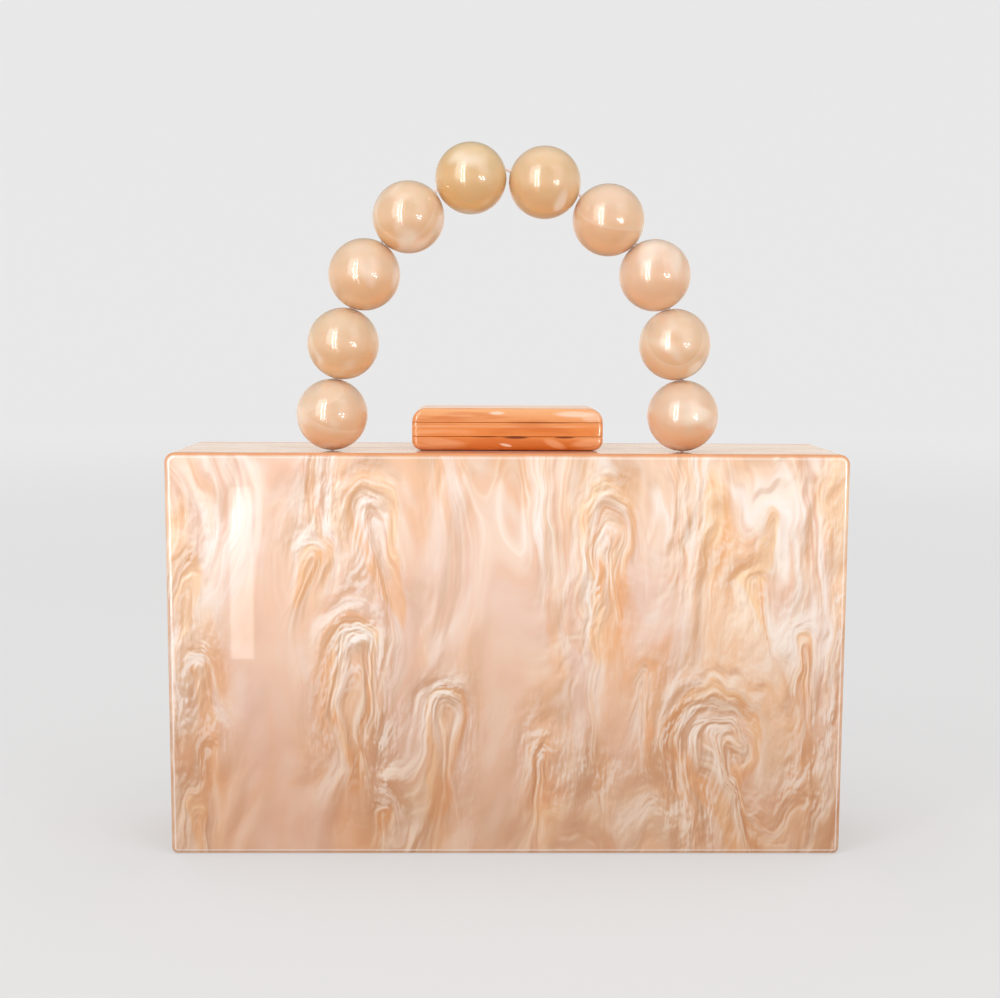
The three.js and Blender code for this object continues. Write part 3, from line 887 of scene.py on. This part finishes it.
    # The rim: a pale line of painted highlight where the rounding starts, then the sheet's caramel cut
    line = look.maths("SUBTRACT", look.smooth(rim, 0.0, 0.12), look.smooth(rim, 0.14, 0.28))
    colour = blend(colour, WHITE, line, 0.45)
    # The cut's caramel is the sheet's own colour; its stronger share along the top edge is painted shade
    caramel_and_top_shade = look.maths("ADD", times(look.smooth(level, 0.112, 0.1175), 0.65), 0.25)
    cut = look.smooth(rim, 0.25, 0.5)
    colour = blend(colour, CARAMEL, cut, caramel_and_top_shade)
    bump = look.add("ShaderNodeBump")
    look.feed(bump.inputs["Height"], times(pattern(folds, 2.0, 0.0), shown))
    look.feed(bump.inputs["Strength"], 0.15)
    look.feed(bump.inputs["Distance"], 0.003)
    coat = look.maths("SUBTRACT", 1.0, times(cut, 0.5))
    look.set(Base_Color=colour, Roughness=0.34, Normal=bump.outputs[0], Coat_Weight=coat,
             Coat_Roughness=0.03, Coat_IOR=1.49, IOR=1.45)
    return look.material


def clasp_acrylic():
    """The same sheet seen on its cut edges: clear caramel, pale in the top sheet and deep in the
    bottom one, with soft threads of light along each sheet, painted glints in spots and at both ends,
    and dark glue between the sheets."""
    look = Look("clasp_acrylic")
    place = look.place()
    across, _, height = look.parts(place)
    level = look.maths("DIVIDE", look.maths("SUBTRACT", height, CLASP_FOOT), CLASP_RISE)

    def thread(middle, half):
        """A soft level line at a share of the bar's height, that comes and goes along the bar."""
        off = look.maths("ABSOLUTE", look.maths("SUBTRACT", level, middle))
        line = look.maths("SUBTRACT", 1.0, look.smooth(off, 0.0, half))
        placed = look.vector_sum(look.stretch(place, (40.0, 30.0, 60.0)), (middle, 0.0, 0.0))
        return look.maths("MULTIPLY", line, look.smooth(look.noise(placed, 1.0), 0.30, 0.50))

    def spot(x, share, half_x, half_share, lean):
        """A soft oval at a place along the bar, in mm, and at a share of its height."""
        far_x = look.maths("DIVIDE", look.maths("SUBTRACT", across, x * MM), half_x * MM)
        far_z = look.maths("DIVIDE", look.maths("SUBTRACT", level, share), half_share)
        far_z = look.maths("ADD", far_z, look.maths("MULTIPLY", far_x, lean))
        far = look.maths("ADD", look.maths("MULTIPLY", far_x, far_x),
                         look.maths("MULTIPLY", far_z, far_z))
        return look.maths("SUBTRACT", 1.0, look.smooth(far, 0.1, 1.0))

    colour = look.mix(look.smooth(level, 0.0, 0.42), CLASP_LOW, CLASP_MIDDLE)
    colour = look.mix(look.smooth(level, 0.45, 0.98), colour, CLASP_TOP)
    drift = look.noise(look.stretch(place, (35.0, 120.0, 420.0)), 2.0)
    colour = look.mix(look.maths("MULTIPLY", look.smooth(drift, 0.50, 0.75), 0.55), colour, CLASP_PALE)
    colour = look.mix(look.maths("MULTIPLY", look.smooth(drift, 0.46, 0.28), 0.55), colour, CLASP_DEEP)
    for middle, half, share in ((0.57, 0.045, 0.75), (0.95, 0.040, 0.50)):
        colour = look.mix(look.maths("MULTIPLY", thread(middle, half), share), colour, CLASP_PALE)
    for x, height_share, half_x, half_share, lean, share, tint in CLASP_SPOTS:
        mask = spot(x, height_share, half_x, half_share, lean)
        colour = look.mix(look.maths("MULTIPLY", mask, share), colour, tint)
    # Painted glints inside the rounded ends of the bar
    ends = look.smooth(look.maths("ABSOLUTE", across), 0.0250, 0.0285)
    colour = look.mix(look.maths("MULTIPLY", ends, 0.45), colour, CLASP_PALE)
    look.set(Base_Color=colour, Roughness=0.25, Specular_IOR_Level=0.15, Coat_Weight=0.8,
             Coat_Roughness=0.02, Coat_IOR=1.49)
    return look.material


def bead_acrylic():
    """Pearly bead: pale cloud and a fine curved line through it, paler on top by painted light and deeper
    below by painted shade, under a high gloss.
    """
    look = Look("bead_acrylic")
    place = look.attribute("bead_place")
    up = look.attribute("bead_painted_light_height", "Fac")
    warmth = look.attribute("bead_warmth", "Fac")
    cloud = look.noise(look.stretch(place, (0.7, 0.7, 1.1)), 2.0)
    sweep = look.noise(look.vector_sum(look.stretch(place, (0.25, 0.8, 0.30)), (5.0, 0.0, 0.0)), 0.0)
    # Painted light paler on top and painted shade deeper below, mixed by height on the bead with some
    # cloud
    pale = look.mix(warmth, BEAD_TOP_LIT, BEAD_TOP_LIT_WARM)
    deep = look.mix(warmth, BEAD_FOOT_SHADE, BEAD_FOOT_SHADE_WARM)
    level = look.maths("ADD", up, look.maths("MULTIPLY", look.maths("SUBTRACT", cloud, 0.5), 1.2))
    colour = look.mix(look.smooth(level, -0.9, 0.9), deep, pale)
    # Pale milky clouds of the pearl, made stronger as a painted pearly sheen
    milky = look.smooth(look.noise(look.stretch(place, (1.3, 1.3, 0.6)), 1.0), 0.54, 0.72)
    colour = look.mix(look.maths("MULTIPLY", milky, 0.60), colour, BEAD_CLOUD_AND_SHEEN)
    edge = look.maths("SUBTRACT", sweep, 0.53)
    beside = look.maths("MULTIPLY", look.smooth(edge, 0.10, 0.0), look.smooth(edge, -0.001, 0.001))
    colour = look.mix(look.maths("MULTIPLY", beside, 0.24), colour, BEAD_SHEEN)
    line = look.maths("SUBTRACT", 1.0, look.smooth(look.maths("ABSOLUTE", edge), 0.0, 0.004))
    colour = look.mix(look.maths("MULTIPLY", line, 0.14), colour, BEAD_LINE)
    look.set(Base_Color=colour, Roughness=0.30, Coat_Weight=1.0, Coat_Roughness=0.02, Coat_IOR=1.55,
             Subsurface_Weight=0.6, Subsurface_Radius=(1.0, 0.55, 0.35), Subsurface_Scale=0.007,
             Sheen_Weight=0.35, Sheen_Roughness=0.2)
    return look.material


def bead_thread():
    """Pale twisted thread with a faint painted glow, so that it stays pale in the shade between the beads.
    """
    look = Look("bead_thread")
    look.set(Base_Color=(*THREAD_PALE, 1.0), Roughness=0.7,
             Emission_Color=(*THREAD_GLOW, 1.0), Emission_Strength=0.2)
    return look.material


def hinge_metal():
    """Satin steel with fine lines along the hinge."""
    look = Look("hinge_metal")
    lines = look.noise(look.stretch(look.place(), (40.0, 2500.0, 2500.0)), 3.0, 0.6)
    look.set(Base_Color=look.mix(lines, STEEL_DARK, STEEL_BRIGHT),
             Metallic=1.0, Roughness=0.32)
    return look.material


def dress(piece, material, node_names, body):
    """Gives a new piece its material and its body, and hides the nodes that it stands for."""
    piece.data.materials.append(material)
    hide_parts(*node_names)
    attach(piece, body)


def repaint(node, material):
    """Gives a CAD node that stays as it is a new material."""
    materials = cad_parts[node].data.materials
    materials.clear()
    materials.append(material)


# Camera, floor and lights

def camera():
    """A camera at the photograph's own place and angle."""
    data = bpy.data.cameras.new("camera")
    data.sensor_width = 36.0
    data.lens = CAMERA_LENS
    data.shift_y = CAMERA_SHIFT
    data.clip_start = 0.01
    holder = bpy.data.objects.new("camera", data)
    aim = (Matrix.Rotation(math.radians(CAMERA_TURN), 4, "Z")
           @ Matrix.Rotation(math.radians(CAMERA_TILT), 4, "X")
           @ Matrix.Rotation(math.radians(CAMERA_ROLL), 4, "Z"))
    holder.matrix_world = Matrix.Translation(CAMERA_PLACE) @ aim
    bpy.context.scene.collection.objects.link(holder)
    bpy.context.scene.camera = holder


def softbox(name, place, aim, width, height, power, mirrored=False):
    """A rectangular light at a place, facing another place. A mirrored one only shows in gloss."""
    data = bpy.data.lights.new(name, "AREA")
    data.shape = "RECTANGLE"
    data.size, data.size_y = width, height
    data.energy = power
    light = bpy.data.objects.new(name, data)
    way = Vector(aim) - Vector(place)
    light.matrix_world = Matrix.Translation(place) @ way.to_track_quat("-Z", "Y").to_matrix().to_4x4()
    light.visible_camera = False
    light.visible_diffuse = not mirrored
    bpy.context.scene.collection.objects.link(light)


# The floor, in metres: its flat part's inner ring and reach, its curve's radius and its wall's top
FLOOR_RING = 0.4
FLOOR_REACH = 2.5
FLOOR_CURVE = 1.5
FLOOR_WALL = 8.0
FLOOR_DROP = 0.05 * MM


def dish():
    """A floor turned about Z: flat, then a quarter circle up into a tall wall. It lies a hair
    under the clutch."""
    turns = np.linspace(0, 0.5 * math.pi, 12)
    out = np.concatenate([[FLOOR_RING, FLOOR_REACH], FLOOR_REACH + FLOOR_CURVE * np.sin(turns[1:]),
                          [FLOOR_REACH + FLOOR_CURVE]])
    up = np.concatenate([[0.0, 0.0], FLOOR_CURVE * (1 - np.cos(turns[1:])), [FLOOR_WALL]]) - FLOOR_DROP
    around = np.linspace(0, 2 * math.pi, 64, endpoint=False)
    x, y = out[:, None] * np.cos(around), out[:, None] * np.sin(around)
    rings = np.stack([x, y, np.broadcast_to(up[:, None], x.shape)], axis=-1)
    index = np.arange(x.size).reshape(x.shape)
    ahead = np.roll(index, -1, axis=1)
    quads = np.stack([index[:-1], ahead[:-1], ahead[1:], index[1:]], axis=-1).reshape(-1, 4)
    return surface("floor", rings.reshape(-1, 3), [quads, index[:1, ::-1]])


def floor_paint():
    """A plain pale floor, which glows a little more the further out, so that it stays as pale."""
    look = Look("floor")
    x, y, _ = look.parts(look.place())
    far = look.maths("SQRT", look.maths("ADD", look.maths("MULTIPLY", x, x), look.maths("MULTIPLY", y, y)))
    glow = look.mix(look.smooth(far, 0.2, 2.2), (0.33, 0.33, 0.334), (0.46, 0.46, 0.466))
    look.set(Base_Color=(0.42, 0.42, 0.42, 1.0), Roughness=1.0, Specular_IOR_Level=0.0,
             Emission_Color=glow, Emission_Strength=1.0)
    return look.material


def studio():
    """A pale floor that curves up into a pale wall, and soft lights."""
    floor = dish()
    floor.visible_diffuse = False
    floor.visible_glossy = False
    floor.visible_shadow = False
    floor.data.materials.append(floor_paint())
    backdrop()
    middle = (0.0, 0.0, 0.10)
    softbox("overhead", (0.0, -0.30, 1.35), middle, 2.0, 1.4, 4.2)
    softbox("window", (-0.83, -0.87, 0.60), (0.0, 0.0, 0.17), 0.36, 1.10, 3.2)
    softbox("fill", (0.9, -0.9, 0.9), middle, 0.9, 0.9, 2.2)
    softbox("window_pane", (-0.56, -1.12, 0.70), (0.0, 0.0, 0.70), 0.36, 1.9, 6.0, True)
    for x in (-0.68, -0.44):
        softbox("window_bar", (x, -1.10, 0.45), (0.0, 0.0, 0.45), 0.07, 1.2, 3.4, True)
    softbox("strip", (-0.1150, -0.281, 0.0476), (-0.08, -0.025, 0.085), 0.0102, 0.0772, 0.010, True)
    for x, z, power in ((0.58, 0.20, 0.8), (0.74, 0.04, 1.5), (0.90, 0.20, 1.5), (0.98, 0.00, 1.2)):
        softbox("spark", (x, -1.10, z), (0.0, 0.0, 0.17), 0.07, 0.10, power, True)
    bpy.context.scene.view_settings.view_transform = "Standard"


def backdrop():
    """A pale world for the camera, an even soft light on the object, and in its reflections a warm
    glow along the horizon that fades upwards and downwards."""
    world = bpy.data.worlds.new("backdrop")
    bpy.context.scene.world = world
    world.use_nodes = True
    tree = world.node_tree

    def node(kind, **settings):
        made = tree.nodes.new(kind)
        for key, value in settings.items():
            setattr(made, key, value)
        return made

    def glow(colour):
        light = node("ShaderNodeBackground")
        light.inputs["Color"].default_value = (*colour, 1.0)
        return light

    seen, even, mirrored = glow((0.80, 0.80, 0.81)), glow((0.82, 0.81, 0.80)), glow((0.6, 0.6, 0.6))
    way, parts = node("ShaderNodeTexCoord"), node("ShaderNodeSeparateXYZ")
    height, ramp = node("ShaderNodeMath", operation="ABSOLUTE"), node("ShaderNodeMapRange")
    ramp.interpolation_type = "SMOOTHSTEP"
    ramp.inputs["From Max"].default_value = 0.5
    shade = node("ShaderNodeMix", data_type="RGBA")
    shade.inputs[6].default_value = (0.90, 0.80, 0.71, 1.0)
    shade.inputs[7].default_value = (0.24, 0.23, 0.22, 1.0)
    path = node("ShaderNodeLightPath")
    other, camera_or_other = node("ShaderNodeMixShader"), node("ShaderNodeMixShader")
    for start, end in (
        (way.outputs["Generated"], parts.inputs[0]),
        (parts.outputs[2], height.inputs[0]),
        (height.outputs[0], ramp.inputs["Value"]),
        (ramp.outputs[0], shade.inputs[0]),
        (shade.outputs[2], mirrored.inputs["Color"]),
        (path.outputs["Is Glossy Ray"], other.inputs[0]),
        (even.outputs[0], other.inputs[1]),
        (mirrored.outputs[0], other.inputs[2]),
        (path.outputs["Is Camera Ray"], camera_or_other.inputs[0]),
        (other.outputs[0], camera_or_other.inputs[1]),
        (seen.outputs[0], camera_or_other.inputs[2]),
        (camera_or_other.outputs[0], tree.nodes["World Output"].inputs["Surface"]),
    ):
        tree.links.new(start, end)


# The clutch

def clutch():
    """All the pieces, from the front half to the rear half."""
    pearl, clasp = pearl_acrylic(), clasp_acrylic()
    beads, thread, metal = bead_acrylic(), bead_thread(), hinge_metal()
    rear_plumes = tuple((-x, (z + REAR_SHIFT) % SHEET_HEIGHT, size, rise, turns, -lean)
                        for x, z, size, rise, turns, lean in FRONT_PLUMES)
    for half, facing, plumes in (("front", -1, FRONT_PLUMES), ("rear", 1, rear_plumes)):
        body = half + "_half"
        face = plate(half + "_plate", facing, plumes)
        dress(face, pearl, [half + "_plate"], body)
        for side in ("left", "right"):
            node = f"{half}_{side}_wall"
            dress(side_wall(node), pearl, [node], body)
        for level in ("bottom", "top"):
            node = f"{half}_{level}_wall"
            dress(level_wall(node), pearl, [node], body)
        layers = [f"clasp_{half}_{level}" for level in ("lower", "middle", "upper")]
        boxes = [np.array(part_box(node)) for node in layers]
        bar_low, bar_high = np.min([b[0] for b in boxes], axis=0), np.max([b[1] for b in boxes], axis=0)
        for node in layers:
            dress(clasp_layer(node, bar_low, bar_high), clasp, [node], body)
        repaint(f"hinge_{half}_leaf", metal)
    repaint("hinge_pin", metal)
    repaint("clasp_stud", metal)
    repaint("thread", thread)
    string_beads(beads)


# How each bead's bands lie: turned about Y and then X, in degrees
BEAD_TURNS = ((20, 70), (-30, 50), (10, 30), (-40, 10), (80, 40), (0, 0), (35, 60), (-15, 25),
              (50, 15), (90, 5))


def string_beads(material):
    """The beads, each bored along the way between its two neighbours' ways."""
    boxes = [np.array(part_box(f"bead_{k + 1}")) for k in range(len(BEAD_TURNS))]
    centres = np.array([(low + high) / 2 for low, high in boxes])
    top = CAD_BOX[1][2]
    links = np.diff(centres, axis=0)
    ways = np.arctan2(links[:, 2], links[:, 0])
    bores = np.concatenate([[math.pi / 2], (ways[:-1] + ways[1:]) / 2, [-math.pi / 2]])
    for k, turn in enumerate(BEAD_TURNS):
        radius = min(BEAD_RADIUS, top - centres[k][2])
        round_bead = bead(k + 1, centres[k], radius, bores[k], turn)
        dress(round_bead, material, [f"bead_{k + 1}"], "front_half")


camera()
studio()
clutch()
